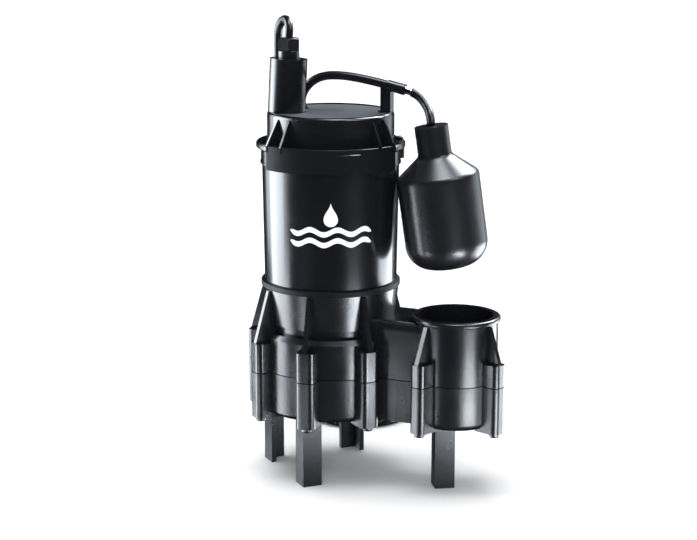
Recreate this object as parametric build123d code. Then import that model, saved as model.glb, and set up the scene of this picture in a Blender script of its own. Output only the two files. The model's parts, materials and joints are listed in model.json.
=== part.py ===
from build123d import *
import math
import os

# Submersible sump pump with a tethered float switch. Millimetres, +Z up.
# The motor and impeller axis is vertical; the discharge port stands beside it, towards +X.
# Everything is laid out from the pump axis at floor level, and moved at the end so that
# the origin is under the middle of the pump's box, on the floor.
BASE_X = 42.79
BASE_Y = 0.0

# --- heights above the floor -------------------------------------------------------------
VOLUTE_BOTTOM = 54.0
SPLIT_LOW = 89.5
SPLIT_HIGH = 90.3
LEDGE_LOW = 121.6
LEDGE_HIGH = 128.5
RING_LOW = 157.0
RING_HIGH = 161.4
HOUSING_TOP = 268.0
COLLAR_LOW = 256.5
FLANGE_LOW = 269.5
FLANGE_HIGH = 274.5
CAP_TOP = 295.4
DISC_TOP = 297.6
RIM_TOP = 298.4
TOWER_TOP = 340.0
COLLAR_TOP = 346.5
NUT_TOP = 356.3
PORT_TOP = 142.0

# --- radii -------------------------------------------------------------------------------
VOLUTE_R = 58.0
CHAMBER_R = 53.0
HOUSING_BOTTOM_R = 53.7
HOUSING_TOP_R = 55.3
HOUSING_BORE_R = 50.8
RING_R = 56.6
FLANGE_R = 60.0
CAP_R = 51.1
RIM_INNER_R = 47.0
SHAFT_R = 5.0

# --- discharge port: 2 inch pipe thread ----------------------------------------------------
PORT_X = 110.0
PORT_R = 33.5
PORT_LIP_R = 35.4
PORT_BORE_R = 29.6
PORT_BORE_DEPTH = 26.0
PORT_CHAMBER_R = 28.5
DUCT_HALF_WIDTH = 28.0
DUCT_TOP = 137.0
DUCT_WALL = 4.0

# --- joining columns, fins and legs --------------------------------------------------------
COLUMN_ANGLES = [7.5 + 45 * step for step in range(1, 8)]
COLUMN_REACH = 70.0
COLUMN_WIDTH = 15.5
COLUMN_TOP = 114.0
COLUMN_BOTTOM = 52.0
SCREW_CIRCLE_R = 64.0
PORT_COLUMN_ANGLES = [-112.0, -18.0, 72.0]
PORT_COLUMN_REACH = 46.5
PORT_COLUMN_WIDTH = 13.5
PORT_COLUMN_TOP = 108.0
PORT_SCREW_R = 40.5
SCREW_R = 2.0
FIN_THICKNESS = 4.0
LEG_ANGLES = [-86.5, 183.5, 93.5]
LEG_APEX_R = 60.0
LEG_FLANGE = 16.0
LEG_THICKNESS = 4.0
INLET_R = 22.0
FLOOR_PLATE = 4.0

# --- cap: tower, guide post and shield are clocked about the axis --------------------------
CAP_TURN = 25.0
TOWER_R = 15.0
TOWER_FOOT_X = -36.5
TOWER_TOP_X = -33.4
POST_X = 45.0
POST_TOP = 318.0
SHIELD_R = 62.0
SHIELD_BOTTOM = 256.0
SHIELD_TOP = 275.5
SHIELD_HALF_ANGLE = 55.0
CAP_SCREW_ANGLES = [6.0, 54.0, 102.0, 150.0]
CAP_SCREW_CIRCLE_R = 55.7

# --- float ---------------------------------------------------------------------------------
FLOAT_R = 33.0
FLOAT_NECK_R = 13.4
FLOAT_LENGTH = 114.0
FLOAT_TILT = 8.1
FLOAT_TOP = (79.0, -28.0, 290.0)
FLOAT_WALL = 2.4
FLOAT_BASE_ROUND = 20.0

# --- cords: routes are lists of points in the cap's own directions -------------------------
CORD_R = 3.5
POWER_ROUTE = [
    (-33.4, 0.0, 356.3),
    (-33.6, 0.5, 365.5),
    (-36.3, 11.6, 373.5),
    (-39.6, 24.7, 367.5),
    (-40.5, 28.6, 351.0),
    (-40.5, 34.0, 324.0),
    (-36.0, 57.0, 296.0),
    (-32.0, 72.0, 260.0),
    (-30.0, 78.0, 213.0),
    (-28.0, 80.0, 160.0),
    (-25.0, 84.0, 110.0),
    (-22.0, 90.0, 72.0),
    (-20.3, 101.0, 38.0),
    (-19.4, 118.0, 12.5),
    (-19.0, 139.0, 3.9),
]
FLOAT_LEAD_ROUTE = [
    (-24.0, 18.5, 303.0),
    (-23.0, 17.6, 312.0),
    (-10.5, 12.5, 324.5),
    (9.0, 7.0, 326.2),
    (35.0, 0.8, 321.6),
    (59.5, -5.6, 315.4),
]
LEAD_EXIT = FLOAT_LEAD_ROUTE[0][:2]
GROMMET_R = 5.6
GROMMET_STEM_R = 4.6
TETHER_ROUTE = [
    (65.3, -7.2, 313.6),
    (70.5, -9.6, 310.8),
    (76.3, -16.0, 303.5),
    (78.6, -25.2, 297.0),
    (79.0, -28.0, 290.0),
]

# --- put-away length of the power cord ------------------------------------------------------
CORD_LENGTH = 2440.0
COIL_MID_R = 36.75
COIL_ACROSS = 3
COIL_HIGH = 3
COIL_CENTRE = (24.75, 147.0)
TIE_TURN = -12.0
PLUG_TURN = -7.0
PLUG_PLACE = (22.0, 26.0)


def cylinder(radius, low, high, x=0.0, y=0.0):
    return Pos(x, y, (low + high) / 2) * Cylinder(radius, high - low)


def ring(outer, inner, low, high, x=0.0, y=0.0):
    return cylinder(outer, low, high, x, y) - cylinder(inner, low - 1, high + 1, x, y)


def block(x0, x1, y0, y1, z0, z1):
    return Pos((x0 + x1) / 2, (y0 + y1) / 2, (z0 + z1) / 2) * Box(x1 - x0, y1 - y0, z1 - z0)


def turned(points, sweep=360.0, start=0.0):
    """A solid of revolution about the Z axis from (radius, height) points."""
    outline = Polyline(*[(r, 0, z) for r, z in points], close=True)
    return Rot(0, 0, start) * revolve(make_face(outline), Axis.Z, sweep)


def at_angle(shape, angle, radius=0.0):
    """The shape turned about the pump axis, after moving it outwards along +X."""
    return Rot(0, 0, angle) * Pos(radius, 0, 0) * shape


def radial_plate(points, thickness):
    """A plate in the plane through the axis, from (radius, height) points."""
    outline = Polyline(*[(r, -thickness / 2, z) for r, z in points], close=True)
    return extrude(make_face(outline), amount=thickness, dir=(0, 1, 0))


def column(reach, width, low, high, inner):
    """A rounded square column that carries one joining screw."""
    shape = block(inner, reach, -width / 2, width / 2, low, high)
    outer_edges = shape.edges().filter_by(Axis.Z).group_by(Axis.X)[-1]
    return fillet(outer_edges, 4.5)


def group(shapes):
    return Compound([solid for shape in shapes for solid in shape.solids()])


def screw(x, y, under_head, up, head_r=4.2, head_high=3.4, length=34.0):
    """A round-headed screw; up is 1 when its point is above its head."""
    shank_low, shank_high = sorted((under_head, under_head + up * length))
    head_low, head_high_z = sorted((under_head, under_head - up * head_high))
    head = cylinder(head_r, head_low, head_high_z, x, y)
    rim = head.edges().group_by(Axis.Z)[0 if up > 0 else -1]
    head = fillet(rim, 1.2) - Pos(x, y, under_head - up * head_high) * Box(5.0, 1.1, 2.0)
    return head + cylinder(SCREW_R - 0.15, shank_low, shank_high, x, y)


def column_places():
    """The centre of every joining screw, in plan."""
    places = []
    for angle in COLUMN_ANGLES:
        a = math.radians(angle)
        places.append((SCREW_CIRCLE_R * math.cos(a), SCREW_CIRCLE_R * math.sin(a)))
    for angle in PORT_COLUMN_ANGLES:
        a = math.radians(angle)
        places.append((PORT_X + PORT_SCREW_R * math.cos(a), PORT_SCREW_R * math.sin(a)))
    return places


def columns(low, high, port_high):
    solids = []
    for angle in COLUMN_ANGLES:
        solids.append(at_angle(column(COLUMN_REACH, COLUMN_WIDTH, low, high, 50), angle))
    port = column(PORT_COLUMN_REACH, PORT_COLUMN_WIDTH, low, port_high, 26)
    for angle in PORT_COLUMN_ANGLES:
        solids.append(Pos(PORT_X, 0, 0) * Rot(0, 0, angle) * port)
    return solids


def screw_holes(low, high):
    return [cylinder(SCREW_R, low, high, x, y) for x, y in column_places()]


def leg(apex_r):
    """An angle-section leg whose corner points outwards."""
    angle_bar = block(-LEG_FLANGE, 0, -LEG_FLANGE, 0, 0, VOLUTE_BOTTOM + 5)
    angle_bar -= block(-LEG_FLANGE - 1, -LEG_THICKNESS, -LEG_FLANGE - 1, -LEG_THICKNESS, -1, 60)
    return Pos(apex_r, 0, 0) * Rot(0, 0, -45) * angle_bar


def make_volute_lower():
    body = fillet(cylinder(VOLUTE_R, VOLUTE_BOTTOM, SPLIT_LOW).edges().group_by(Axis.Z)[0], 5)
    sump = fillet(cylinder(PORT_R, VOLUTE_BOTTOM, SPLIT_LOW, PORT_X).edges().group_by(Axis.Z)[0], 5)
    half = DUCT_HALF_WIDTH
    body += sump + block(40, PORT_X, -half, half, VOLUTE_BOTTOM + 1.5, SPLIT_LOW)
    for solid in columns(COLUMN_BOTTOM, SPLIT_LOW, SPLIT_LOW):
        body += solid
    for angle in LEG_ANGLES:
        body += Rot(0, 0, angle) * leg(LEG_APEX_R)
    body += Pos(PORT_X - 5.6, -1.3, 0) * Rot(0, 0, -102) * leg(17)
    body += cylinder(INLET_R + 5, VOLUTE_BOTTOM - 5, VOLUTE_BOTTOM)
    floor = VOLUTE_BOTTOM + FLOOR_PLATE
    body -= cylinder(CHAMBER_R, floor, SPLIT_LOW + 1)
    body -= cylinder(PORT_CHAMBER_R, floor, SPLIT_LOW + 1, PORT_X)
    body -= block(45, PORT_X, DUCT_WALL - half, half - DUCT_WALL, floor, SPLIT_LOW + 1)
    body -= cylinder(INLET_R, VOLUTE_BOTTOM - 6, floor + 1)
    for hole in screw_holes(COLUMN_BOTTOM - 1, SPLIT_LOW + 1):
        body -= hole
    return body


def make_volute_upper():
    body = turned(
        [
            (0, SPLIT_HIGH), (VOLUTE_R, SPLIT_HIGH), (VOLUTE_R, 118), (55, LEDGE_LOW),
            (50.5, LEDGE_LOW), (50.5, LEDGE_HIGH), (52.8, LEDGE_HIGH), (55.5, RING_LOW), (0, RING_LOW),
        ]
    )
    half = DUCT_HALF_WIDTH
    duct = block(44, PORT_X, -half, half, SPLIT_HIGH, DUCT_TOP)
    body += fillet(duct.edges().filter_by(Axis.X).group_by(Axis.Z)[-1], 7)
    body += cylinder(PORT_R, SPLIT_HIGH, PORT_TOP - 4, PORT_X)
    lip = cylinder(PORT_LIP_R, PORT_TOP - 4.6, PORT_TOP, PORT_X)
    body += fillet(lip.edges().filter_by(GeomType.CIRCLE), 2.0)
    for solid in columns(SPLIT_HIGH, COLUMN_TOP, PORT_COLUMN_TOP):
        body += solid
    fin = radial_plate(
        [(48, COLUMN_TOP - 8), (COLUMN_REACH - 1.0, COLUMN_TOP - 8), (COLUMN_REACH - 1.0, COLUMN_TOP),
         (57.2, RING_LOW - 1), (48, RING_LOW - 1)],
        FIN_THICKNESS,
    )
    for angle in COLUMN_ANGLES:
        body += at_angle(fin, angle)
    port_fin = radial_plate(
        [(28, PORT_COLUMN_TOP - 8), (PORT_COLUMN_REACH - 1.5, PORT_COLUMN_TOP - 8),
         (PORT_COLUMN_REACH - 1.5, PORT_COLUMN_TOP), (PORT_R + 1.4, PORT_TOP - 5), (28, PORT_TOP - 5)],
        FIN_THICKNESS,
    )
    for angle in PORT_COLUMN_ANGLES:
        body += Pos(PORT_X, 0, 0) * Rot(0, 0, angle) * port_fin
    body -= cylinder(CHAMBER_R, SPLIT_HIGH - 1, 104)
    body -= cylinder(47.5, 110, RING_LOW + 1)
    body -= cylinder(14, 100, 112)
    body -= cylinder(PORT_CHAMBER_R, SPLIT_HIGH - 1, PORT_TOP, PORT_X)
    body -= cylinder(PORT_BORE_R, PORT_TOP - PORT_BORE_DEPTH, PORT_TOP + 1, PORT_X)
    body -= block(45, 70, DUCT_WALL - half, half - DUCT_WALL, SPLIT_HIGH - 1, 104)
    body -= block(62, PORT_X, DUCT_WALL - half, half - DUCT_WALL, SPLIT_HIGH - 1, DUCT_TOP - DUCT_WALL - 15)
    for hole in screw_holes(SPLIT_HIGH - 1, 100):
        body -= hole
    return body


def make_volute_gasket():
    half = DUCT_HALF_WIDTH
    low, high = SPLIT_LOW, SPLIT_HIGH
    seal = cylinder(VOLUTE_R - 0.9, low, high) + cylinder(PORT_R - 0.9, low, high, PORT_X)
    seal += block(40, PORT_X, 0.9 - half, half - 0.9, low, high)
    seal -= cylinder(CHAMBER_R, low - 1, high + 1)
    seal -= cylinder(PORT_CHAMBER_R, low - 1, high + 1, PORT_X)
    seal -= block(40, PORT_X, DUCT_WALL - half, half - DUCT_WALL, low - 1, high + 1)
    for hole in screw_holes(low - 1, high + 1):
        seal -= hole
    return seal


def make_lower_bell():
    return turned(
        [
            (47.2, 110), (47.2, 156.6), (44, 156.6), (44, 139), (19, 139), (19, 149), (15, 149),
            (15, 140), (12, 140), (12, 134), (44, 134), (44, 110),
        ]
    )


def cap_screw_places(turn=0.0):
    """The centres of the screws that hold the cap; turn is added to their angles."""
    angles = [math.radians(angle + turn) for angle in CAP_SCREW_ANGLES]
    return [(CAP_SCREW_CIRCLE_R * math.cos(a), CAP_SCREW_CIRCLE_R * math.sin(a)) for a in angles]


def make_housing():
    housing = turned(
        [
            (HOUSING_BORE_R, RING_HIGH), (HOUSING_BOTTOM_R, RING_HIGH), (HOUSING_TOP_R, COLLAR_LOW),
            (56.7, COLLAR_LOW + 0.6), (56.7, COLLAR_LOW + 2.0), (56.2, COLLAR_LOW + 2.8),
            (56.2, HOUSING_TOP), (HOUSING_BORE_R, HOUSING_TOP),
        ]
    )
    for x, y in cap_screw_places(CAP_TURN):
        housing += cylinder(4.2, COLLAR_LOW + 2.8, HOUSING_TOP, x, y)
    housing -= cylinder(HOUSING_BORE_R, COLLAR_LOW, HOUSING_TOP + 1)
    for x, y in cap_screw_places(CAP_TURN):
        housing -= cylinder(SCREW_R, HOUSING_TOP - 8, HOUSING_TOP + 1, x, y)
    return housing


def make_cap_gasket():
    seal = ring(55.9, 50.9, HOUSING_TOP, FLANGE_LOW)
    for x, y in cap_screw_places(CAP_TURN):
        seal += cylinder(3.9, HOUSING_TOP, FLANGE_LOW, x, y) - cylinder(50.9, HOUSING_TOP - 1, FLANGE_LOW + 1)
    for x, y in cap_screw_places(CAP_TURN):
        seal -= cylinder(SCREW_R, HOUSING_TOP - 1, FLANGE_LOW + 1, x, y)
    return seal


def in_cap(shape):
    """Places a shape made in the cap's own directions."""
    return Rot(0, 0, CAP_TURN) * shape


def tower_axis():
    foot = Vector(TOWER_FOOT_X, 0, FLANGE_HIGH)
    top = Vector(TOWER_TOP_X, 0, TOWER_TOP)
    return foot, top


def along(start, end, radius):
    """A round bar from one point to another."""
    start, end = Vector(start), Vector(end)
    line = end - start
    return Plane(origin=start, z_dir=line) * Pos(0, 0, line.length / 2) * Cylinder(radius, line.length)


def make_top_cap():
    cap = turned(
        [
            (0, CAP_TOP), (RIM_INNER_R, CAP_TOP), (RIM_INNER_R, RIM_TOP), (CAP_R, RIM_TOP),
            (CAP_R, FLANGE_HIGH), (FLANGE_R - 1, FLANGE_HIGH), (FLANGE_R, FLANGE_HIGH - 1.2),
            (FLANGE_R, FLANGE_LOW + 1), (FLANGE_R - 1, FLANGE_LOW), (0, FLANGE_LOW),
        ]
    )
    cap = fillet(cap.edges().group_by(Axis.Z)[-1].sort_by(SortBy.LENGTH)[-1], 2.8)
    # shield that hangs from the front of the flange, braced against the cap's wall by gussets
    shield = turned(
        [
            (FLANGE_R - 0.6, SHIELD_BOTTOM), (SHIELD_R, SHIELD_BOTTOM), (SHIELD_R, SHIELD_TOP),
            (FLANGE_R - 2, SHIELD_TOP), (FLANGE_R - 2, FLANGE_LOW + 1), (FLANGE_R - 0.6, FLANGE_LOW + 1),
        ],
        2 * SHIELD_HALF_ANGLE,
        -90 - SHIELD_HALF_ANGLE,
    )
    cap += fillet(shield.edges().group_by(Axis.Z)[-1].sort_by(SortBy.LENGTH)[-1], 1.4)
    gusset = radial_plate(
        [(CAP_R - 3, RIM_TOP - 3.4), (CAP_R + 0.9, RIM_TOP - 3.4), (SHIELD_R + 0.6, SHIELD_TOP - 0.4),
         (SHIELD_R + 0.6, FLANGE_LOW + 1), (CAP_R - 3, FLANGE_LOW + 1)],
        1.8,
    )
    for angle in (-SHIELD_HALF_ANGLE + 0.9, SHIELD_HALF_ANGLE - 0.9, -39.5, 39.5):
        cap += at_angle(gusset, angle - 90)
    foot, top = tower_axis()
    tower = along(foot, top, TOWER_R)
    cap += tower
    # guide post, square to the discharge port, with the sleeve that holds the float lead
    post = Rot(0, 0, -CAP_TURN) * Box(8.8, 7.2, POST_TOP - FLANGE_HIGH)
    cap += Pos(POST_X, -1.6, (POST_TOP + FLANGE_HIGH) / 2) * post
    lead_start, lead_end = Vector(FLOAT_LEAD_ROUTE[4]), Vector(FLOAT_LEAD_ROUTE[5])
    step = (lead_end - lead_start).normalized()
    cap += along(lead_start + step * 11.0, lead_end, CORD_R + 0.9)
    # hollow inside, screw holes, cord ways
    cap -= cylinder(47, FLANGE_LOW - 1, CAP_TOP - 4)
    cap -= along(foot, top + (top - foot) * 0.1, 6.5)
    cap -= along(top - (top - foot) * 0.07, top + (top - foot) * 0.1, 10.5)
    cap -= cord_tube(FLOAT_LEAD_ROUTE, CORD_R + 0.12)
    cap -= cylinder(GROMMET_STEM_R, CAP_TOP - 8, DISC_TOP + 1, *LEAD_EXIT)
    for x, y in cap_screw_places():
        cap -= cylinder(SCREW_R, FLANGE_LOW - 1, FLANGE_HIGH + 1, x, y)
    return cap


def make_cap_disc():
    disc = fillet(cylinder(RIM_INNER_R - 0.7, CAP_TOP, DISC_TOP).edges().group_by(Axis.Z)[-1], 0.8)
    foot, top = tower_axis()
    disc -= along(foot, top, TOWER_R + 0.8)
    disc -= block(38, 60, -9, 7, CAP_TOP - 1, DISC_TOP + 1)
    return disc - cylinder(GROMMET_R + 0.4, CAP_TOP - 1, DISC_TOP + 1, *LEAD_EXIT)


def make_cap_screws():
    return group([screw(x, y, FLANGE_HIGH, -1, 3.4, 2.4, 12.0) for x, y in cap_screw_places()])


def bend_radii(route):
    """Each corner's radius: 0.45 of the shorter run over the tangent of half the turn."""
    points = [Vector(p) for p in route]
    radii = []
    for before, here, after in zip(points, points[1:], points[2:]):
        arrive, leave = here - before, after - here
        turn = math.radians(arrive.get_angle(leave))
        radii.append(0.45 * min(arrive.length, leave.length) / math.tan(turn / 2))
    return radii


def cord_path(route):
    return FilletPolyline(*route, radius=bend_radii(route))


def cord_tube(route, radius):
    path = cord_path(route)
    return sweep(Plane(origin=path @ 0, z_dir=path % 0) * Circle(radius), path)


def put_away_length():
    return CORD_LENGTH - cord_path(POWER_ROUTE).length


def make_coil():
    """The outer shape of the wound, tied length of the power cord."""
    d = 2 * CORD_R
    inner = COIL_MID_R - COIL_ACROSS * d / 2
    outer = COIL_MID_R + COIL_ACROSS * d / 2
    wound = ring(outer, inner, 0.0, COIL_HIGH * d, *COIL_CENTRE)
    return fillet(wound.edges().filter_by(GeomType.CIRCLE), 3.2)


def make_tie():
    """A strap round the coil's section."""
    d = 2 * CORD_R
    half, high = COIL_ACROSS * d / 2, COIL_HIGH * d
    strap = block(-half - 1.6, half + 1.6, -4, 4, 0, high + 1.5)
    strap -= block(-half - 0.4, half + 0.4, -5, 5, -1, high + 0.3)
    return Pos(*COIL_CENTRE, 0) * Rot(0, 0, TIE_TURN) * Pos(COIL_MID_R, 0, 0) * strap


def place_plug(shape):
    """The plug lies on the coil, along a chord of it; its own +X points out of its blades."""
    on_coil = Pos(COIL_CENTRE[0], COIL_CENTRE[1], COIL_HIGH * 2 * CORD_R)
    return on_coil * Rot(0, 0, PLUG_TURN) * Pos(*PLUG_PLACE, 0) * shape


def make_plug_body():
    body = block(-14, 16, -13.5, 13.5, 0, 21)
    body = fillet(body.edges().filter_by(Axis.X), 6)
    body = fillet(body.edges().group_by(Axis.X)[0], 4)
    relief = Pos(-25, 0, 9.5) * Rot(0, 90, 0) * Cone(4.6, 7.5, 24)
    body += relief
    for side in (-1, 1):
        body -= block(6, 17, side * 6.35 - 0.8, side * 6.35 + 0.8, 9.9, 16.3)
    return place_plug(body - Pos(11.5, 0, 5.0) * Rot(0, 90, 0) * Cylinder(2.4, 11))


def make_plug_blades():
    blades = [block(6, 32, side * 6.35 - 0.75, side * 6.35 + 0.75, 9.95, 16.25) for side in (-1, 1)]
    return [place_plug(blade) for blade in blades]


def make_plug_pin():
    pin = Pos(20.5, 0, 5.0) * Rot(0, 90, 0) * Cylinder(2.35, 29)
    return place_plug(fillet(pin.edges().filter_by(GeomType.CIRCLE).group_by(Axis.X)[-1], 1.8))


def bearing(low):
    """Outer ring, inner ring and balls of a 30 x 10 x 9 mm ball bearing."""
    mid, race_r, ball_r = low + 4.5, 10.1, 2.3
    groove = Pos(0, 0, mid) * Torus(race_r, ball_r + 0.12)
    outer = ring(15, 12.0, low, low + 9) - groove
    inner = ring(8.2, SHAFT_R, low, low + 9) - groove
    balls = [at_angle(Pos(0, 0, mid) * Sphere(ball_r), 360 / 8 * i, race_r) for i in range(8)]
    return outer, inner, balls


def make_impeller():
    wheel = ring(11, SHAFT_R, 65, 84) + ring(45, SHAFT_R, 80, 83) + ring(45, 24, 64, 66.5)
    vane = Pos(12, 0, 0) * Rot(0, 0, -28) * block(0, 33, -1.1, 1.1, 66, 80.5)
    for i in range(7):
        wheel += Rot(0, 0, 360 / 7 * i) * vane
    return wheel


def make_shaft():
    shaft = cylinder(SHAFT_R, 58.8, 248)
    return chamfer(shaft.edges().filter_by(GeomType.CIRCLE), 0.8)


def hexagon(across_flats, low, high):
    return Pos(0, 0, low) * extrude(RegularPolygon(across_flats / 2, 6, major_radius=False), high - low)


def make_impeller_nut():
    return hexagon(16, 59.6, 64.8) - cylinder(SHAFT_R, 50, 70)


def make_seal_spring():
    wire_r = 0.8
    helix = Helix(pitch=4.2, height=12.6, radius=7.6, center=(0, 0, 85.2))
    return sweep(Plane(origin=helix @ 0, z_dir=helix % 0) * Circle(wire_r), helix, is_frenet=True)


def end_turns(low, high):
    """One end of the windings, a rounded ring."""
    bundle = ring(43, 29, low, high)
    return fillet(bundle.edges().filter_by(GeomType.CIRCLE), 2.6)


def make_stator():
    core = ring(50.4, 26.4, 166, 224)
    slot = block(28, 40, -2.0, 2.0, 165, 225)
    for i in range(18):
        core -= Rot(0, 0, 20 * i) * slot
    return core


def make_upper_bracket():
    return turned(
        [
            (15, 240), (18, 240), (18, 250), (50.4, 250), (50.4, 254), (8, 254), (8, 249), (15, 249),
        ]
    )


def make_capacitor():
    can = Pos(4, 24, 268) * Rot(0, 90, 0) * Cylinder(11.5, 52)
    return fillet(can.edges().filter_by(GeomType.CIRCLE), 1.5)


def make_terminal_block():
    body = block(-18, 18, -30, -14, 254.2, 268)
    for x in (-12, -4, 4, 12):
        body -= cylinder(2.2, 262, 270, x, -22)
    return body


def make_thermal_overload():
    return fillet(cylinder(8, 254.2, 262, 34, -8).edges().group_by(Axis.Z)[-1], 1.2)


# --- the gland on top of the tower ----------------------------------------------------------
def in_gland(shape):
    """Places a shape made about the tower's axis line at its top."""
    return Pos(TOWER_TOP_X, 0, 0) * shape


def make_gland_collar():
    collar = ring(9.6, CORD_R + 2.6, TOWER_TOP - 3.6, TOWER_TOP) + ring(8.5, CORD_R + 2.6, TOWER_TOP, COLLAR_TOP)
    return in_gland(fillet(collar.edges().group_by(Axis.Z)[-1].sort_by(SortBy.LENGTH)[-1], 0.8))


def make_gland_nut():
    nut = Rot(0, 0, 30) * hexagon(16.4, COLLAR_TOP, NUT_TOP)
    crown = turned([(0, COLLAR_TOP), (9.6, COLLAR_TOP), (9.6, NUT_TOP - 1.2), (7.6, NUT_TOP), (0, NUT_TOP)])
    return in_gland((nut & crown) - cylinder(CORD_R + 1.6, COLLAR_TOP - 1, NUT_TOP + 1))


def make_gland_seal():
    """Rubber bush squeezed round the cord inside the nut."""
    return in_gland(cylinder(CORD_R + 1.6, COLLAR_TOP - 6, NUT_TOP))


def make_lead_grommet():
    x, y = LEAD_EXIT
    stem = cylinder(GROMMET_STEM_R, CAP_TOP - 5, CAP_TOP, x, y)
    collar = cylinder(GROMMET_R, CAP_TOP, CAP_TOP + 4.3, x, y)
    return stem + collar + Pos(x, y, CAP_TOP + 5.95) * Cone(GROMMET_R - 0.6, CORD_R + 0.3, 3.3)


# --- float -----------------------------------------------------------------------------------
def float_frame(shape):
    """Places a shape made about the float's own axis, with z = 0 at the top of its neck."""
    return Pos(*FLOAT_TOP) * Rot(0, -FLOAT_TILT, 0) * shape


def float_body(inset):
    """The float's solid outline, drawn inwards by the inset."""
    r, neck, low = FLOAT_R - inset, FLOAT_NECK_R - inset, inset - FLOAT_LENGTH
    solid = turned([(0, -inset), (neck, -inset), (neck, -23.5), (r, -39.5), (r, low), (0, low)])
    rims = solid.edges().filter_by(GeomType.CIRCLE).sort_by(Axis.Z)
    solid = fillet(rims[0], FLOAT_BASE_ROUND - inset)
    shoulders = solid.edges().filter_by(GeomType.CIRCLE).filter_by_position(Axis.Z, -40, -23)
    return fillet(shoulders, 5.0)


def make_float_shell():
    shell = float_body(0) - float_body(FLOAT_WALL)
    return float_frame(shell - cylinder(CORD_R + 1.5, -FLOAT_WALL - 1, 1))


def make_float_seal():
    """The bush that seals the tether into the float's neck."""
    bush = cylinder(CORD_R + 1.5, -18, 0) + cylinder(CORD_R + 4.5, -18, -FLOAT_WALL)
    return float_frame(bush)


BALL_R = 6.5
BALL_LOW = -84.0
LEVER_PIVOT = (-7.5, -70.0)
LEVER_ANGLE = 34.4


def make_switch_case():
    case = ring(11, 9.4, -94, -52) + cylinder(11, -96, -94) + cylinder(11, -52, -50)
    spokes = block(-30.4, -10.6, -1, 1, -90, -60) + block(10.6, 30.4, -1, 1, -90, -60)
    return float_frame(case + spokes)


def make_switch_ball():
    return float_frame(Pos(0, 0, BALL_LOW) * Sphere(BALL_R))


def make_switch_lever():
    x, z = LEVER_PIVOT
    arm = Pos(6.5, 0, 0) * Box(13, 4, 1) + Rot(90, 0, 0) * Cylinder(1.1, 4)
    return float_frame(Pos(x, 0, z) * Rot(0, LEVER_ANGLE, 0) * arm)


def make_micro_switch():
    return float_frame(block(-3, 7, -4, 4, -64, -53))


def make_ferrule():
    start, mouth = Vector(FLOAT_LEAD_ROUTE[-1]), Vector(TETHER_ROUTE[0])
    return along(start, start + (mouth - start) * 0.8, CORD_R - 0.6)


def main():
    os.makedirs("parts", exist_ok=True)
    lower_outer, lower_inner, lower_balls = bearing(140)
    upper_outer, upper_inner, upper_balls = bearing(240)
    plain = {
        "volute_lower": make_volute_lower(),
        "volute_upper": make_volute_upper(),
        "volute_gasket": make_volute_gasket(),
        "volute_screws": group([screw(x, y, COLUMN_BOTTOM, 1, length=46) for x, y in column_places()]),
        "impeller": make_impeller(),
        "impeller_nut": make_impeller_nut(),
        "shaft": make_shaft(),
        "seal_seat": ring(14, 6.4, 104.2, 109.8),
        "seal_face": ring(11, SHAFT_R, 99.2, 104.15),
        "seal_spring": make_seal_spring(),
        "lower_bell": make_lower_bell(),
        "oil_seal": ring(12, 5.3, 134, 139.6),
        "lower_bearing_outer": lower_outer,
        "lower_bearing_inner": lower_inner,
        "lower_bearing_balls": group(lower_balls),
        "housing_ring": fillet(ring(RING_R, 47.5, RING_LOW, RING_HIGH).edges().filter_by(GeomType.CIRCLE), 0.7),
        "motor_housing": make_housing(),
        "stator_core": make_stator(),
        "winding_lower": end_turns(158.5, 166),
        "winding_upper": end_turns(224, 236),
        "rotor_core": ring(26, SHAFT_R, 166, 224),
        "rotor_end_rings": group([ring(25, 14, 161, 166), ring(25, 14, 224, 229)]),
        "upper_bracket": make_upper_bracket(),
        "upper_bearing_outer": upper_outer,
        "upper_bearing_inner": upper_inner,
        "upper_bearing_balls": group(upper_balls),
        "start_capacitor": make_capacitor(),
        "terminal_block": make_terminal_block(),
        "thermal_overload": make_thermal_overload(),
        "cap_gasket": make_cap_gasket(),
    }
    clocked = {
        "top_cap": make_top_cap(),
        "cap_disc": make_cap_disc(),
        "cap_screws": make_cap_screws(),
        "gland_collar": make_gland_collar(),
        "gland_nut": make_gland_nut(),
        "gland_seal": make_gland_seal(),
        "lead_grommet": make_lead_grommet(),
        "float_lead": cord_tube(FLOAT_LEAD_ROUTE, CORD_R),
        "tether_ferrule": make_ferrule(),
        "float_tether": cord_tube(TETHER_ROUTE, CORD_R),
        "float_shell": make_float_shell(),
        "float_seal": make_float_seal(),
        "switch_case": make_switch_case(),
        "switch_ball": make_switch_ball(),
        "switch_lever": make_switch_lever(),
        "micro_switch": make_micro_switch(),
        "power_cord": cord_tube(POWER_ROUTE, CORD_R),
        "power_cord_coil": make_coil(),
        "coil_tie": make_tie(),
        "plug_body": make_plug_body(),
        "plug_blades": group(make_plug_blades()),
        "plug_ground_pin": make_plug_pin(),
    }
    for route in (POWER_ROUTE, FLOAT_LEAD_ROUTE, TETHER_ROUTE):
        length = cord_path(route).length
        volume = cord_tube(route, CORD_R).volume / (math.pi * CORD_R**2 * length)
        print("length", round(length, 1), "volume share", round(volume, 4))
        print("radii", [round(r, 1) for r in bend_radii(route)])
    print("put away", round(put_away_length(), 1))
    to_origin = Pos(-BASE_X, -BASE_Y, 0)
    for name, shape in plain.items():
        export_step(to_origin * shape, f"parts/{name}.step")
    for name, shape in clocked.items():
        export_step(to_origin * in_cap(shape), f"parts/{name}.step")


main()
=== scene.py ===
import json
import math

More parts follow.
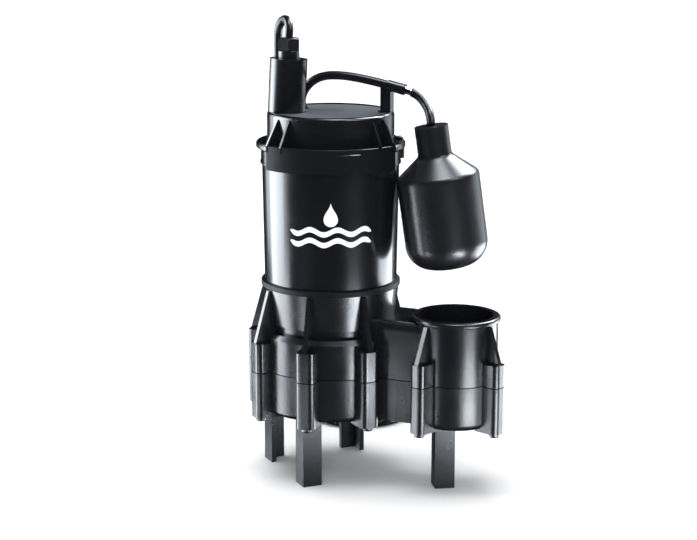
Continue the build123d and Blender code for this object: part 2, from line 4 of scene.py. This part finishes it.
import bmesh
import bpy
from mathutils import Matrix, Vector


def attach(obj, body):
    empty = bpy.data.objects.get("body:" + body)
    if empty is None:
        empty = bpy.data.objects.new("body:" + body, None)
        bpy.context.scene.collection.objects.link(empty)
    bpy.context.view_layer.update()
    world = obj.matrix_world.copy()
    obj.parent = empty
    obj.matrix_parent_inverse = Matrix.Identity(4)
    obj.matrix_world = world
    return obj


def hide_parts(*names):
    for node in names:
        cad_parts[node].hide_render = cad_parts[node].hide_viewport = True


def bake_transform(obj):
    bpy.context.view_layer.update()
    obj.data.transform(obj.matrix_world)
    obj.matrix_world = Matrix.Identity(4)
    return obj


# A submersible sump pump with a tethered float switch, seen from the front left of its port.
# Lengths are metres unless a name says mm. The cap, its cords and the float are laid out in
# the cap's own directions, which are turned from the row frame about the pump's axis.

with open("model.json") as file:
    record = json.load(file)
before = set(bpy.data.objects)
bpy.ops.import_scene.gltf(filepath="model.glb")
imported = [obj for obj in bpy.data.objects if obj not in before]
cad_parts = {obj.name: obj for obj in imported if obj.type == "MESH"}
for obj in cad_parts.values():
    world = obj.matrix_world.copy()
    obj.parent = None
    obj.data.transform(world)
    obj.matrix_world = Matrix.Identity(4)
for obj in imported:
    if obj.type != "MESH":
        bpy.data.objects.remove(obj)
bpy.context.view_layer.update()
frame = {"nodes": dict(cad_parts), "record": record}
MOUNTS = {mount["name"]: mount for mount in frame["record"]["mounts"]}
PUMP_X = MOUNTS["inlet"]["pos_m"][0]
PORT = Vector(MOUNTS["discharge_port"]["pos_m"])
CAP_TURN = math.radians(25)
MM = 0.001


def cap_point(point):
    """A point in millimetres in the cap's directions, as metres in the row frame."""
    x, y, z = point
    c, s = math.cos(CAP_TURN), math.sin(CAP_TURN)
    return Vector((PUMP_X + MM * (x * c - y * s), MM * (x * s + y * c), MM * z))


# --- camera -----------------------------------------------------------------------------------
CAMERA_DISTANCE = 1.4378
CAMERA_HEIGHT = 0.4889
CAMERA_PITCH = 0.220
CAMERA_LENS = 93.17
CAMERA_SHIFT = 0.0255


def make_camera():
    data = bpy.data.cameras.new("camera")
    data.lens = CAMERA_LENS
    data.sensor_width = 36
    data.shift_x = CAMERA_SHIFT
    data.clip_end = 60
    camera = bpy.data.objects.new("camera", data)
    camera.location = (
        PUMP_X + math.sin(CAP_TURN) * CAMERA_DISTANCE,
        -math.cos(CAP_TURN) * CAMERA_DISTANCE,
        CAMERA_HEIGHT,
    )
    camera.rotation_euler = (math.pi / 2 - CAMERA_PITCH, 0, CAP_TURN)
    bpy.context.scene.collection.objects.link(camera)
    bpy.context.scene.camera = camera


make_camera()


# --- cords ------------------------------------------------------------------------------------
CORD_R = 3.5
CRIMP_WAIST_R = 2.2
CRIMP_WAIST_END = 0.8
POWER_ROUTE = [
    (-33.4, 0.0, 356.3),
    (-32.4, 0.5, 365.0),
    (-35.6, 11.6, 371.2),
    (-41.6, 24.7, 366.0),
    (-43.0, 28.6, 351.0),
    (-42.4, 34.0, 324.0),
    (-36.6, 57.0, 296.0),
    (-32.0, 72.0, 260.0),
    (-30.0, 78.0, 213.0),
    (-28.0, 80.0, 160.0),
    (-25.0, 84.0, 110.0),
    (-22.0, 90.0, 72.0),
    (-20.3, 101.0, 38.0),
    (-19.4, 118.0, 12.5),
    (-19.0, 139.0, 3.9),
]
FLOAT_LEAD_ROUTE = [
    (-24.0, 18.5, 303.0),
    (-23.0, 17.6, 312.0),
    (-10.5, 12.5, 324.5),
    (9.0, 7.0, 326.2),
    (35.0, 0.8, 321.6),
    (59.5, -5.6, 315.4),
]
TETHER_ROUTE = [
    (65.3, -7.2, 313.6),
    (70.5, -9.6, 310.8),
    (76.3, -16.0, 303.5),
    (78.6, -25.2, 297.0),
    (79.0, -28.0, 290.0),
]
COIL_CENTRE = (24.75, 147.0)
COIL_MID_R = 36.75
# the wound turns, in quarter turns: (first, last, radius step, height step), in diameters
COIL_STEPS = [
    (3, 4, -1, 0), (7, 8, -1, 0), (10, 11, 0, 1),
    (13, 14, 1, 0), (17, 18, 1, 0), (20, 21, 0, 1),
    (23, 24, -1, 0), (27, 28, -1, 0), (30.33, 31, 0, 1),
]
COIL_QUARTERS = 31
POINTS_PER_QUARTER = 3
COIL_LIFT = 0.1
COIL_TOP = 6 * CORD_R
# the cord's end on top of the coil: (angle in degrees, radius) about the coil's centre, then
# (angle in degrees, height) round the bend into the plug's tail
OVER_COIL = [(257, 31.5), (232, 35.0), (208, 40.0)]
TAIL_BEND = [(185, 0.5), (160, 2.0), (130, 4.5)]
PLUG_TURN = math.radians(-7)
PLUG_PLACE = (22.0, 26.0)
PLUG_TAIL = (-37.0, 0.0, 9.5)
TAIL_BEND_R = 28.0
TAIL_BEND_SPREAD = 1.03
TAIL_LEAD_IN = 8
TAIL_DEPTH = 4


def new_object(name, data, body=None, finish=None):
    piece = bpy.data.objects.new(name, data)
    bpy.context.scene.collection.objects.link(piece)
    if finish:
        data.materials.append(finish)
    if body:
        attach(piece, body)
    return piece


def nurbs(name, points, radius=0.0):
    """A curve whose NURBS control points are the given points in metres."""
    data = bpy.data.curves.new(name, "CURVE")
    data.dimensions = "3D"
    data.bevel_depth = radius
    data.bevel_resolution = 5
    data.resolution_u = 8
    data.use_fill_caps = radius > 0
    spline = data.splines.new("NURBS")
    spline.points.add(len(points) - 1)
    for control, point in zip(spline.points, points):
        control.co = (*point, 1)
    spline.order_u = 3
    spline.use_endpoint_u = True
    return data


def coil_turns():
    """The coil's control points, clockwise from the side where the route arrives."""
    d = 2 * CORD_R
    spread = 1 / math.cos(math.pi / (4 * POINTS_PER_QUARTER))
    points = []
    for step in range(COIL_QUARTERS * POINTS_PER_QUARTER + 1):
        quarter = step / POINTS_PER_QUARTER
        radius, height = COIL_MID_R + d, CORD_R + COIL_LIFT
        for first, last, outwards, upwards in COIL_STEPS:
            share = min(max((quarter - first) / (last - first), 0), 1)
            radius += d * outwards * share
            height += d * upwards * share
        angle = math.pi - quarter * math.pi / 2
        x = COIL_CENTRE[0] + radius * spread * math.cos(angle)
        y = COIL_CENTRE[1] + radius * spread * math.sin(angle)
        points.append((x, y, height))
    return points


def on_coil(x, y, z):
    """A point in the plug's directions about the coil's centre, in the cap's directions."""
    c, s = math.cos(PLUG_TURN), math.sin(PLUG_TURN)
    return (COIL_CENTRE[0] + x * c - y * s, COIL_CENTRE[1] + x * s + y * c, z)


def coil_to_plug():
    """From the coil's last turn, over its top, round into the plug's tapered tail."""
    tail_x = PLUG_PLACE[0] + PLUG_TAIL[0]
    tail_y = PLUG_PLACE[1]
    tail_z = COIL_TOP + PLUG_TAIL[2]
    top = COIL_TOP + CORD_R
    points = []
    for angle, radius in OVER_COIL:
        a = math.radians(angle)
        x = COIL_CENTRE[0] + radius * math.cos(a)
        y = COIL_CENTRE[1] + radius * math.sin(a)
        points.append((x, y, top))
    for angle, height in TAIL_BEND:
        a = math.radians(angle)
        x = tail_x + TAIL_BEND_R * TAIL_BEND_SPREAD * math.cos(a)
        y = tail_y - TAIL_BEND_R + TAIL_BEND_R * TAIL_BEND_SPREAD * math.sin(a)
        points.append(on_coil(x, y, top + height))
    points.append(on_coil(tail_x - TAIL_LEAD_IN, tail_y, tail_z))
    points.append(on_coil(tail_x + TAIL_DEPTH, tail_y, tail_z))
    return points


def centreline(points):
    """Points along the NURBS line of a route, read from the curve itself."""
    data = nurbs("line", points)
    holder = bpy.data.objects.new("line", data)
    bpy.context.scene.collection.objects.link(holder)
    bpy.context.view_layer.update()
    mesh = bpy.data.meshes.new_from_object(holder)
    line = [vertex.co.copy() for vertex in mesh.vertices]
    bpy.data.objects.remove(holder)
    bpy.data.meshes.remove(mesh)
    return line


def ring_frames(line):
    """A pair of directions across the line at each of its points, without twist."""
    tangents = []
    for i in range(len(line)):
        ahead, behind = line[min(i + 1, len(line) - 1)], line[max(i - 1, 0)]
        tangents.append((ahead - behind).normalized())
    side = tangents[0].orthogonal().normalized()
    frames = []
    for tangent in tangents:
        side = (side - tangent * side.dot(tangent)).normalized()
        frames.append((side.copy(), tangent.cross(side)))
    return frames


def tube_mesh(name, line, radii, sides=20):
    """A closed tube along a line, with a radius at each point."""
    mesh = bpy.data.meshes.new(name)
    vertices, faces = [], []
    for point, (side, up), radius in zip(line, ring_frames(line), radii):
        for k in range(sides):
            a = 2 * math.pi * k / sides
            across = side * (radius * math.cos(a)) + up * (radius * math.sin(a))
            vertices.append(point + across)
    for i in range(len(line) - 1):
        for k in range(sides):
            n = (k + 1) % sides
            faces.append((i * sides + k, i * sides + n, (i + 1) * sides + n, (i + 1) * sides + k))
    faces.append(tuple(reversed(range(sides))))
    faces.append(tuple(range((len(line) - 1) * sides, len(line) * sides)))
    mesh.from_pydata(vertices, [], faces)
    mesh.polygons.foreach_set("use_smooth", [True] * (len(faces) - 2) + [False] * 2)
    mesh.update()
    return mesh


# --- materials --------------------------------------------------------------------------------
MATERIALS = {}
GLOSS_CLOUDS = 38
COLOUR_CLOUDS = 14
COLOUR_DRIFT = 1.5


def material(name, colour, roughness, grain_mm=0.0, grain_depth_mm=0.0, metallic=0.0,
             uneven=0.0, specular=0.5, stripe=None, stripe_depth_mm=0.0):
    """A moulded, cast or ground finish with grain or stripes and an uneven gloss."""
    made = bpy.data.materials.new(name)
    made.use_nodes = True
    nodes, links = made.node_tree.nodes, made.node_tree.links
    shader = nodes["Principled BSDF"]
    shader.inputs["Metallic"].default_value = metallic
    shader.inputs["Specular IOR Level"].default_value = specular
    place = nodes.new("ShaderNodeTexCoord")

    def noise(scale, detail, label):
        texture = nodes.new("ShaderNodeTexNoise")
        texture.label = label
        texture.inputs["Scale"].default_value = scale
        texture.inputs["Detail"].default_value = detail
        links.new(place.outputs["Object"], texture.inputs["Vector"])
        return texture.outputs["Fac"]

    def relief(height, depth_mm, under):
        bump = nodes.new("ShaderNodeBump")
        bump.inputs["Strength"].default_value = 1
        bump.inputs["Distance"].default_value = depth_mm * MM
        links.new(height, bump.inputs["Height"])
        if under:
            links.new(under, bump.inputs["Normal"])
        return bump.outputs["Normal"]

    gloss = nodes.new("ShaderNodeMapRange")
    gloss.inputs["From Min"].default_value = 0.3
    gloss.inputs["From Max"].default_value = 0.7
    gloss.inputs["To Min"].default_value = roughness - uneven
    gloss.inputs["To Max"].default_value = roughness + uneven
    links.new(noise(GLOSS_CLOUDS, 3, "uneven finish"), gloss.inputs["Value"])
    links.new(gloss.outputs["Result"], shader.inputs["Roughness"])
    tint = nodes.new("ShaderNodeMix")
    tint.data_type = "RGBA"
    dark, light = 1 - COLOUR_DRIFT * uneven, 1 + COLOUR_DRIFT * uneven
    tint.inputs["A"].default_value = (*[c * dark for c in colour], 1)
    tint.inputs["B"].default_value = (*[min(c * light, 1) for c in colour], 1)
    links.new(noise(COLOUR_CLOUDS, 4, "colour drift"), tint.inputs["Factor"])
    links.new(tint.outputs["Result"], shader.inputs["Base Color"])
    normal = None
    if stripe:
        direction, scale, distortion = stripe
        bands = nodes.new("ShaderNodeTexWave")
        bands.bands_direction = direction
        bands.inputs["Scale"].default_value = scale
        bands.inputs["Distortion"].default_value = distortion
        links.new(place.outputs["Object"], bands.inputs["Vector"])
        normal = relief(bands.outputs["Fac"], stripe_depth_mm, normal)
    if grain_mm:
        normal = relief(noise(1000 / grain_mm, 2, "grain"), grain_depth_mm, normal)
    if normal:
        links.new(normal, shader.inputs["Normal"])
    MATERIALS[name] = made


BLACK = (0.0065, 0.0072, 0.0090)
material("gloss_black", BLACK, 0.20, 1.1, 0.006, uneven=0.03)
material("cap_black", BLACK, 0.22, 1.3, 0.008, uneven=0.03)
material("shield_black", BLACK, 0.42, 1.3, 0.02, uneven=0.04, specular=0.04)
material("volute_black", (0.007, 0.0078, 0.010), 0.25, 1.5, 0.030, uneven=0.05)
material("grained_black", (0.0075, 0.0083, 0.0105), 0.31, 1.9, 0.10, uneven=0.05)
material("gland_black", (0.008, 0.008, 0.010), 0.30, 0.9, 0.01, uneven=0.04)
# The cap disc's grey is a painted reflection: its colour is set lighter to stand in for the sheen
# of overhead light on the disc's top.
material("disc_grey", (0.080, 0.084, 0.101), 0.46, 0.8, 0.010, uneven=0.04)
material("ring_rubber", (0.004, 0.004, 0.005), 0.55, 0.8, 0.02, uneven=0.06, specular=0.15)
material("cord_jacket", (0.007, 0.0075, 0.009), 0.27, 2.2, 0.02, uneven=0.05, specular=0.35)
material("float_black", (0.0075, 0.0082, 0.010), 0.30, 1.2, 0.018, uneven=0.04)
material("plug_black", (0.012, 0.012, 0.014), 0.48, 0.9, 0.03, uneven=0.06)
material("screw_steel", (0.10, 0.10, 0.11), 0.38, 0.7, 0.01, metallic=1, uneven=0.08)
material("bright_crimp", (0.82, 0.83, 0.86), 0.22, 0.6, 0.01, metallic=1, uneven=0.05)
material("brass", (0.72, 0.52, 0.22), 0.28, 0.6, 0.008, metallic=1, uneven=0.06)
material("steel", (0.55, 0.55, 0.57), 0.24, 0.5, 0.006, metallic=1, uneven=0.06,
         stripe=("Z", 900, 0.5), stripe_depth_mm=0.004)
material("lamination", (0.25, 0.25, 0.27), 0.42, metallic=1, uneven=0.06,
         stripe=("Z", 320, 0.1), stripe_depth_mm=0.08)
material("copper", (0.65, 0.24, 0.10), 0.32, metallic=1, uneven=0.05,
         stripe=("DIAGONAL", 210, 2.0), stripe_depth_mm=0.25)
material("cast_metal", (0.42, 0.42, 0.43), 0.50, 1.6, 0.06, metallic=1, uneven=0.08)
material("can_metal", (0.62, 0.62, 0.64), 0.30, 2.0, 0.01, metallic=1, uneven=0.05)
material("ceramic_white", (0.80, 0.79, 0.75), 0.18, 0.6, 0.004, uneven=0.03)
material("carbon", (0.03, 0.03, 0.032), 0.30, 0.6, 0.01, uneven=0.05)
material("impeller_plastic", (0.03, 0.03, 0.034), 0.42, 1.0, 0.03, uneven=0.06)
material("terminal_plastic", (0.05, 0.05, 0.055), 0.42, 1.1, 0.03, uneven=0.06)
material("print_white", (0.93, 0.94, 0.95), 0.36, 0.5, 0.004, uneven=0.02)

NODE_FINISH = {"top_cap": "cap_black", "volute_lower": "grained_black"}
# the shield's faces on the cap: outside a radius, within an angle, between two heights
SHIELD_R = 59.2
SHIELD_HALF_ANGLE = 57
SHIELD_LOW, SHIELD_HIGH = 255.5, 275.2


def dress_nodes():
    """Every CAD node gets the finish of its slot in the record."""
    slots = {part["node"]: part["material_slot"] for part in frame["record"]["subparts"]}
    for name, node in frame["nodes"].items():
        finish = MATERIALS[NODE_FINISH.get(name, slots[name])]
        if not node.data.materials:
            node.data.materials.append(finish)
        for k in range(len(node.data.materials)):
            node.data.materials[k] = finish


def dress_shield():
    """The shield at the front of the cap is matt; the rest of the cap is glossy."""
    node = frame["nodes"]["top_cap"]
    node.data.materials.append(MATERIALS["shield_black"])
    matt = len(node.data.materials) - 1
    for face in node.data.polygons:
        place = node.matrix_world @ face.center - Vector((PUMP_X, 0, 0))
        around = math.degrees(math.atan2(place.y, place.x) - CAP_TURN) + 90
        outside = place.xy.length > SHIELD_R * MM and abs(around) < SHIELD_HALF_ANGLE
        if outside and SHIELD_LOW * MM < place.z < SHIELD_HIGH * MM:
            face.material_index = matt


dress_nodes()
dress_shield()


# --- the power cord, from the gland to the plug on its coil -----------------------------------
def power_cord():
    points = POWER_ROUTE + coil_turns() + coil_to_plug()
    data = nurbs("power_lead", [cap_point(p) for p in points], CORD_R * MM)
    cord = new_object("power_lead", data, "pump", MATERIALS["cord_jacket"])
    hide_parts("power_cord", "power_cord_coil")


def float_cord():
    """The float's lead, through the guide and the crimp to the float's neck."""
    line = centreline([cap_point(p) for p in FLOAT_LEAD_ROUTE + TETHER_ROUTE])
    start = cap_point(FLOAT_LEAD_ROUTE[-1])
    span = cap_point(TETHER_ROUTE[0]) - start
    radii = []
    for point in line:
        share = (point - start).dot(span) / span.length_squared
        radii.append((CRIMP_WAIST_R if 0 < share < CRIMP_WAIST_END else CORD_R) * MM)
    mesh = tube_mesh("float_cord", line, radii)
    cord = new_object("float_cord", mesh, None, MATERIALS["cord_jacket"])
    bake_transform(cord)
    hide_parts("float_lead", "float_tether")


power_cord()
float_cord()


# --- mesh helpers -----------------------------------------------------------------------------
def tidy(mesh, smooth_angle=35):
    """Welds a mesh, turns its faces outwards and keeps edges over the angle sharp."""
    work = bmesh.new()
    work.from_mesh(mesh)
    bmesh.ops.remove_doubles(work, verts=work.verts, dist=1e-7)
    bmesh.ops.recalc_face_normals(work, faces=work.faces)
    for face in work.faces:
        face.smooth = True
    limit = math.radians(smooth_angle)
    for edge in work.edges:
        edge.smooth = len(edge.link_faces) != 2 or edge.calc_face_angle() < limit
    work.to_mesh(mesh)
    work.free()
    mesh.update()


def swept(name, sections, body, finish):
    """A solid whose cross-sections are equal lists of points in metres, one after another."""
    mesh = bpy.data.meshes.new(name)
    count = len(sections[0])
    faces = []
    for k in range(len(sections) - 1):
        for i in range(count):
            j = (i + 1) % count
            faces.append((k * count + i, k * count + j, (k + 1) * count + j, (k + 1) * count + i))
    faces.append(tuple(reversed(range(count))))
    faces.append(tuple(range((len(sections) - 1) * count, len(sections) * count)))
    mesh.from_pydata([point for section in sections for point in section], [], faces)
    tidy(mesh)
    new_object(name, mesh, body, MATERIALS[finish])


# --- pipe thread in the discharge port --------------------------------------------------------
THREAD_PITCH = 2.209
THREAD_DEPTH = 1.2
THREAD_LENGTH = 20.5
THREAD_BELOW_LIP = 1.4
THREAD_STEPS = 60
THREAD_HALF_FOOT = 0.95
THREAD_HALF_CREST = 0.2
THREAD_SHOULDER = 0.15
PORT_BORE_R = 29.6


def port_thread():
    """The pipe thread's ridge, which runs out over its first and last half turns."""
    total = int(THREAD_LENGTH / THREAD_PITCH * THREAD_STEPS)
    foot = PORT_BORE_R + THREAD_SHOULDER
    sections = []
    for k in range(total + 1):
        turn = k / THREAD_STEPS
        a = 2 * math.pi * turn
        z = PORT.z / MM - THREAD_BELOW_LIP - THREAD_PITCH * turn
        run_in, run_out = 0.1 + 2 * turn, 0.1 + 2 * (total - k) / THREAD_STEPS
        crest = PORT_BORE_R - THREAD_DEPTH * min(1, run_in, run_out)
        outline = [
            (foot, z - THREAD_HALF_FOOT),
            (crest + THREAD_SHOULDER, z - THREAD_HALF_CREST),
            (crest, z),
            (crest + THREAD_SHOULDER, z + THREAD_HALF_CREST),
            (foot, z + THREAD_HALF_FOOT),
        ]
        sections.append([
            Vector((PORT.x + MM * r * math.cos(a), PORT.y + MM * r * math.sin(a), MM * height))
            for r, height in outline
        ])
    swept("port_thread", sections, "pump", "volute_black")


port_thread()


# --- plain white pictogram on the housing: a drop over two waves ------------------------------
HOUSING_FOOT_Z = 161.4
HOUSING_HEIGHT = 95.1
HOUSING_FOOT_R = 53.7
HOUSING_FLARE = 1.6
PICTOGRAM_R = 54.7
PRINT_SINK, PRINT_EDGE, PRINT_FACE, PRINT_CROWN = -0.15, 0.10, 0.12, 0.16
WAVE_STEPS = 64
WAVE_SWING = 1.9
WAVE_PERIOD = 22
WAVE_TIP = 3
DROP_ROWS = 32
DROP_HEIGHT = 3.3
DROP_BULB = 0.3
DROP_TIP = 0.03


def on_housing(across, height, out):
    """A point on the housing's front, from its distance across and its height, in millimetres."""
    rise = (height - HOUSING_FOOT_Z) / HOUSING_HEIGHT
    radius = HOUSING_FOOT_R + HOUSING_FLARE * rise + out
    angle = across / PICTOGRAM_R
    return cap_point((radius * math.sin(angle), -radius * math.cos(angle), height))


def wave(name, height, half_width, thickness):
    """A wavy band with narrow ends and a slight crown."""
    sections = []
    for k in range(WAVE_STEPS + 1):
        u = -half_width + 2 * half_width * k / WAVE_STEPS
        v = height + WAVE_SWING * math.sin(u * 2 * math.pi / WAVE_PERIOD)
        half = thickness / 2 * min(1, 0.15 + (half_width - abs(u)) / WAVE_TIP)
        sections.append([
            on_housing(u, v - half, PRINT_SINK),
            on_housing(u, v - half, PRINT_EDGE),
            on_housing(u, v, PRINT_CROWN),
            on_housing(u, v + half, PRINT_EDGE),
            on_housing(u, v + half, PRINT_SINK),
        ])
    swept(name, sections, "pump", "print_white")


def drop(name, height, radius):
    """Rows across a drop: a round bulb, then narrower towards its tip."""
    sections = []
    for k in range(DROP_ROWS + 1):
        share = k / DROP_ROWS
        v = height - radius + share * DROP_HEIGHT * radius
        if share < DROP_BULB:
            half = radius * math.sqrt(max(1 - (1 - share / DROP_BULB) ** 2, 0.01))
        else:
            swing = math.cos(math.pi * (share - DROP_BULB) / (1 - DROP_BULB))
            half = radius * (DROP_TIP + (1 - DROP_TIP) * (0.5 + 0.5 * swing) ** 0.85)
        row = [on_housing(-half, v, PRINT_SINK)]
        row += [on_housing(half * (j / 4 - 1), v, PRINT_FACE) for j in range(9)]
        row.append(on_housing(half, v, PRINT_SINK))
        sections.append(row)
    swept(name, sections, "pump", "print_white")


wave("pictogram_wave_low", 201.0, 34.0, 4.2)
wave("pictogram_wave_high", 209.5, 34.0, 4.2)
drop("pictogram_drop", 219.5, 5.6)


# --- bead moulded on the shield ---------------------------------------------------------------
BEAD_START, BEAD_SPAN = 4.6, 19.0
BEAD_Z = 271.4
BEAD_FOOT_R = 61.7
BEAD_STEPS = 32
# its cross-section: (height above the shield, distance from the bead's middle height)
BEAD_SECTION = [(0, -0.9), (0.55, -0.75), (0.9, -0.3), (1.0, 0.1), (0.75, 0.6), (0, 0.9)]


def shield_bead():
    """A short raised line along the shield, which runs out at both ends."""
    sections = []
    for k in range(BEAD_STEPS + 1):
        share = k / BEAD_STEPS
        angle = math.radians(BEAD_START + BEAD_SPAN * share)
        swell = min(1, 0.15 + 8 * share, 0.15 + 8 * (1 - share))
        section = []
        for out, z in BEAD_SECTION:
            r = BEAD_FOOT_R + out * swell
            place = (r * math.sin(angle), -r * math.cos(angle), BEAD_Z + z * swell)
            section.append(cap_point(place))
        sections.append(section)
    swept("shield_bead", sections, "pump", "cap_black")


shield_bead()


# --- grip ribs on the plug --------------------------------------------------------------------
RIB_COUNT = 5
RIB_FIRST, RIB_STEP = -6, 3.4
RIB_SIDE = 13.4
RIB_HALF_FOOT, RIB_HALF_TOP = 0.9, 0.5
RIB_SINK = 0.3
# how far a rib stands out of the plug's side, from its foot to its top: (height, out)
RIB_OUTLINE = [(5.2, -0.4), (5.8, 0.5), (7.5, 0.9), (13.5, 0.9), (15.2, 0.5), (15.8, -0.4)]


def plug_point(x, y, z):
    return cap_point(on_coil(x + PLUG_PLACE[0], y + PLUG_PLACE[1], z + COIL_TOP))


def plug_ribs():
    for side, label in ((-1, "near"), (1, "far")):
        for k in range(RIB_COUNT):
            x = RIB_FIRST + RIB_STEP * k
            sections = []
            for height, out in RIB_OUTLINE:
                foot = side * RIB_SIDE - side * RIB_SINK
                crest = side * RIB_SIDE + side * out
                sections.append([
                    plug_point(x - RIB_HALF_FOOT, foot, height),
                    plug_point(x - RIB_HALF_TOP, crest, height),
                    plug_point(x + RIB_HALF_TOP, crest, height),
                    plug_point(x + RIB_HALF_FOOT, foot, height),
                ])
            swept(f"plug_rib_{label}_{k}", sections, "pump", "plug_black")


plug_ribs()


# --- floor and light --------------------------------------------------------------------------
FLOOR_HALF = 14
LIGHT_COLOUR = (0.87, 0.93, 1.0)


def make_floor():
    mesh = bpy.data.meshes.new("floor")
    low, high = -FLOOR_HALF, FLOOR_HALF
    corners = [(low, low, 0), (high, low, 0), (high, high, 0), (low, high, 0)]
    mesh.from_pydata(corners, [], [(0, 1, 2, 3)])
    floor = new_object("floor", mesh)
    paint = bpy.data.materials.new("floor_paint")
    paint.use_nodes = True
    shader = paint.node_tree.nodes["Principled BSDF"]
    shader.inputs["Base Color"].default_value = (0.92, 0.92, 0.92, 1)
    shader.inputs["Roughness"].default_value = 0.9
    shader.inputs["Specular IOR Level"].default_value = 0.1
    mesh.materials.append(paint)
    floor.visible_glossy = False
    floor.visible_shadow = False


def from_camera(around):
    """A direction in the plan from its angle to the camera, to the right, in degrees."""
    return math.radians(around) + CAP_TURN - math.pi / 2


def area_lamp(name, size_x, size_y, radiance, location):
    """A rectangular light that shows only in gloss."""
    data = bpy.data.lights.new(name, "AREA")
    data.shape = "RECTANGLE"
    data.size = size_x
    data.size_y = size_y
    data.energy = radiance * math.pi * size_x * size_y
    data.color = LIGHT_COLOUR
    lamp = bpy.data.objects.new(name, data)
    lamp.location = location
    lamp.visible_diffuse = False
    bpy.context.scene.collection.objects.link(lamp)
    return lamp


def softbox(name, around, distance, low, high, width, radiance):
    """An upright soft light that faces the pump's axis, between two heights."""
    a = from_camera(around)
    middle = (low + high) / 2
    location = Vector((PUMP_X + distance * math.cos(a), distance * math.sin(a), middle))
    lamp = area_lamp(name, width, high - low, radiance, location)
    towards = Vector((PUMP_X, 0, middle)) - location
    lamp.rotation_euler = towards.to_track_quat("-Z", "Y").to_euler()


def flat_box(name, centre, around, near, far, width, height, radiance):
    """A level soft light, near and far from a centre; it shines up when it is below the floor."""
    a = from_camera(around)
    middle = (near + far) / 2
    location = (centre.x + middle * math.cos(a), centre.y + middle * math.sin(a), height)
    lamp = area_lamp(name, far - near, width, radiance, location)
    lamp.rotation_euler = (math.pi if height < 0 else 0, 0, a)


def sun(name, energy, spread, tilt_x, tilt_y, turn=0.0):
    """Distant light that shows on matt surfaces only."""
    data = bpy.data.lights.new(name, "SUN")
    data.energy = energy
    data.angle = math.radians(spread)
    lamp = bpy.data.objects.new(name, data)
    lamp.rotation_euler = (math.radians(tilt_x), math.radians(tilt_y), turn)
    lamp.visible_glossy = False
    bpy.context.scene.collection.objects.link(lamp)


def make_world():
    """A pale sky, brighter overhead, which lights the floor and doesn't show in gloss."""
    world = bpy.data.worlds.new("studio")
    world.use_nodes = True
    nodes, links = world.node_tree.nodes, world.node_tree.links
    background = nodes["Background"]
    place = nodes.new("ShaderNodeTexCoord")
    parts = nodes.new("ShaderNodeSeparateXYZ")
    links.new(place.outputs["Generated"], parts.inputs["Vector"])
    ramp = nodes.new("ShaderNodeMapRange")
    ramp.interpolation_type = "SMOOTHSTEP"
    ramp.inputs["From Min"].default_value = 0.30
    ramp.inputs["From Max"].default_value = 0.95
    ramp.inputs["To Min"].default_value = 0.05
    ramp.inputs["To Max"].default_value = 1.1
    links.new(parts.outputs["Z"], ramp.inputs["Value"])
    links.new(ramp.outputs["Result"], background.inputs["Strength"])
    background.inputs["Color"].default_value = (0.95, 0.975, 1.0, 1)
    bpy.context.scene.world = world
    world.cycles_visibility.glossy = False


def make_light():
    pump, port = Vector((PUMP_X, 0, 0)), Vector((PORT.x, PORT.y, 0))
    softbox("left_box", -104, 1.5, -0.2, 1.3, 1.00, 12.0)
    softbox("left_soft", -108, 1.6, -0.2, 1.3, 1.9, 3.6)
    softbox("left_low", -98, 1.5, -0.95, -0.2, 1.2, 12.0)
    softbox("right_low", 112, 1.5, -0.9, -0.12, 1.2, 13.0)
    softbox("right_dim", 122, 1.6, -0.10, 1.3, 1.1, 1.8)
    softbox("back_right", 136, 1.5, 1.0, 2.9, 1.1, 24.0)
    softbox("front_top", 55, 1.5, 1.5, 2.7, 1.1, 8.0)
    flat_box("overhead", pump, 40, -0.10, 0.55, 0.6, 1.7, 16.0)
    flat_box("floor_front", pump, 0, 0.10, 0.40, 0.5, -0.02, 0.10)
    flat_box("floor_right", port, 34, 0.22, 0.46, 0.18, -0.02, 34.0)
    flat_box("floor_left", port, -60, 0.28, 0.50, 0.08, -0.02, 14.0)
    sun("floor_sun", 2.3, 40, -3, -6)
    sun("front_fill", 1.6, 30, 75, 0, CAP_TURN)
    bpy.context.scene.view_settings.view_transform = "Standard"


make_floor()
make_world()
make_light()
